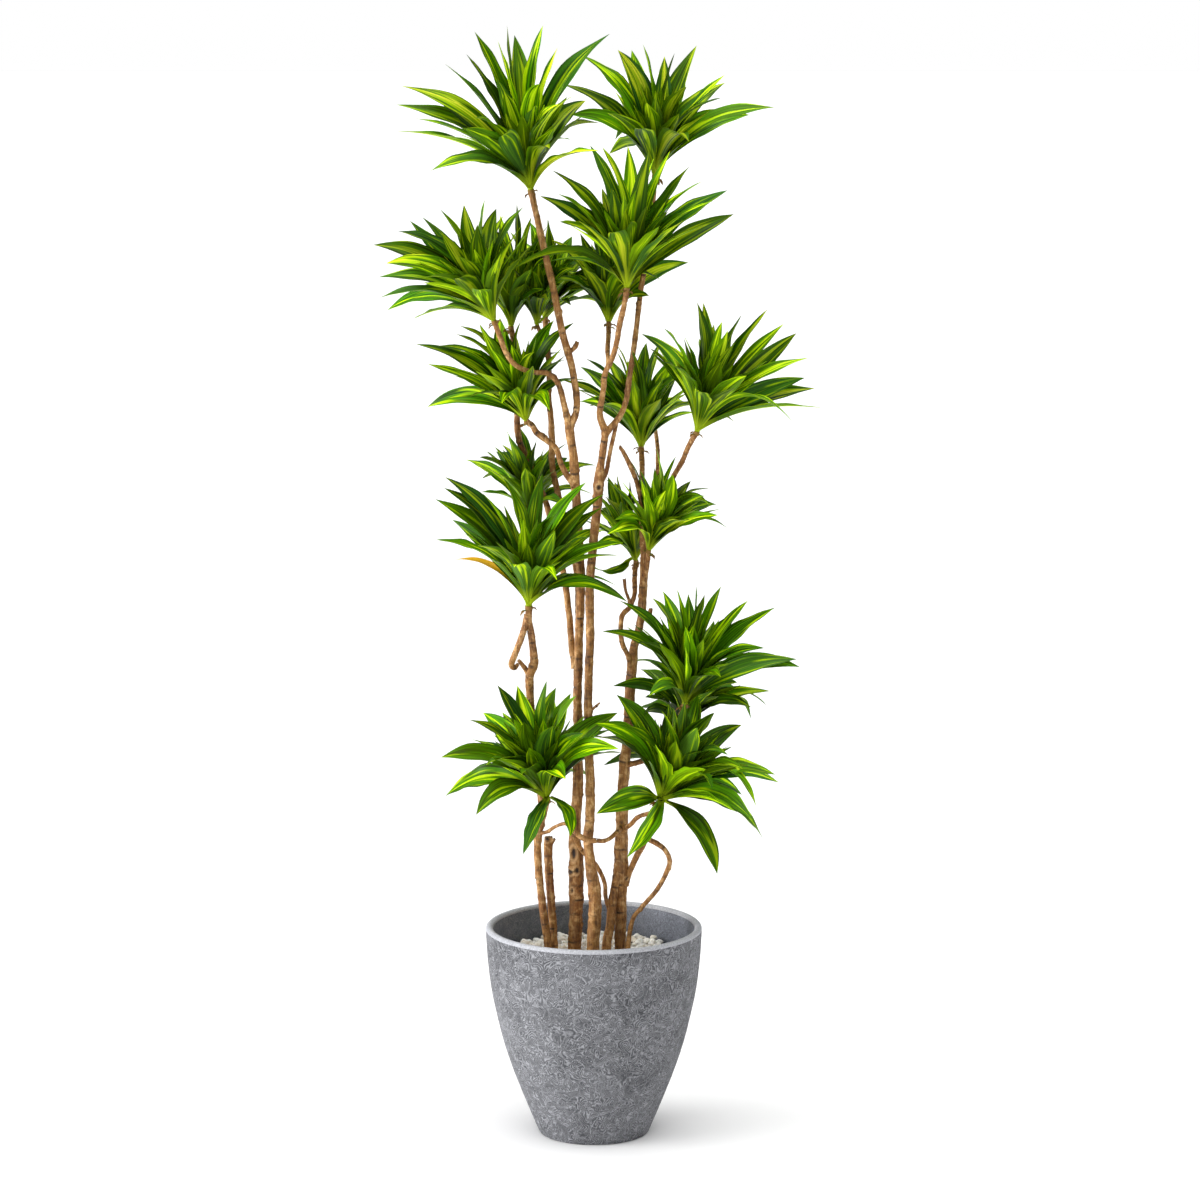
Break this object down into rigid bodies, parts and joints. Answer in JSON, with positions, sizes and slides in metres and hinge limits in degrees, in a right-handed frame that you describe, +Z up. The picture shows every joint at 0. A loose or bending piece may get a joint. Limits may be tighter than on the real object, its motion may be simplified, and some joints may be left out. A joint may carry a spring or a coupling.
{
  "type": "potted dracaena",
  "caption": "Tall potted dracaena: bare forked canes topped with rosettes of arching striped leaves, in a tapered grey stone planter with a layer of pale pebbles.",
  "frame": {"origin": "centre of the pot's flat underside, on the floor", "axes": "+Z up along the plant, +X to the right as the picture shows it, -Y towards the viewer"},
  "size_m": [0.7098, 0.4949, 1.783],
  "materials": {
    "pot_stone": "matt cast stone with fine curled relief lines and a smoother rim",
    "soil": "dark crumbly potting soil",
    "pebble": "dull off-white pebbles",
    "bark": "tan bark with leaf scars",
    "leaf": "satin green with lime stripes"
  },
  "bodies": {
    "root": {"cane_left": "bark", "cane_left_cut": "bark", "cane_mid_left": "bark", "cane_mid_right": "bark", "cane_right": "bark", "pebble_layer": "pebble", "pot": "pot_stone", "potting_soil": "soil", "rosette_01": "leaf", "rosette_02": "leaf", "rosette_03": "leaf", "rosette_04": "leaf", "rosette_05": "leaf", "rosette_06": "leaf", "rosette_07": "leaf", "rosette_08": "leaf", "rosette_09": "leaf", "rosette_10": "leaf", "rosette_11": "leaf", "rosette_12": "leaf", "rosette_13": "leaf", "rosette_14": "leaf", "rosette_15": "leaf", "rosette_16": "leaf", "rosette_17": "leaf", "rosette_18": "leaf", "rosette_19": "leaf"}
  },
  "joints": []
}
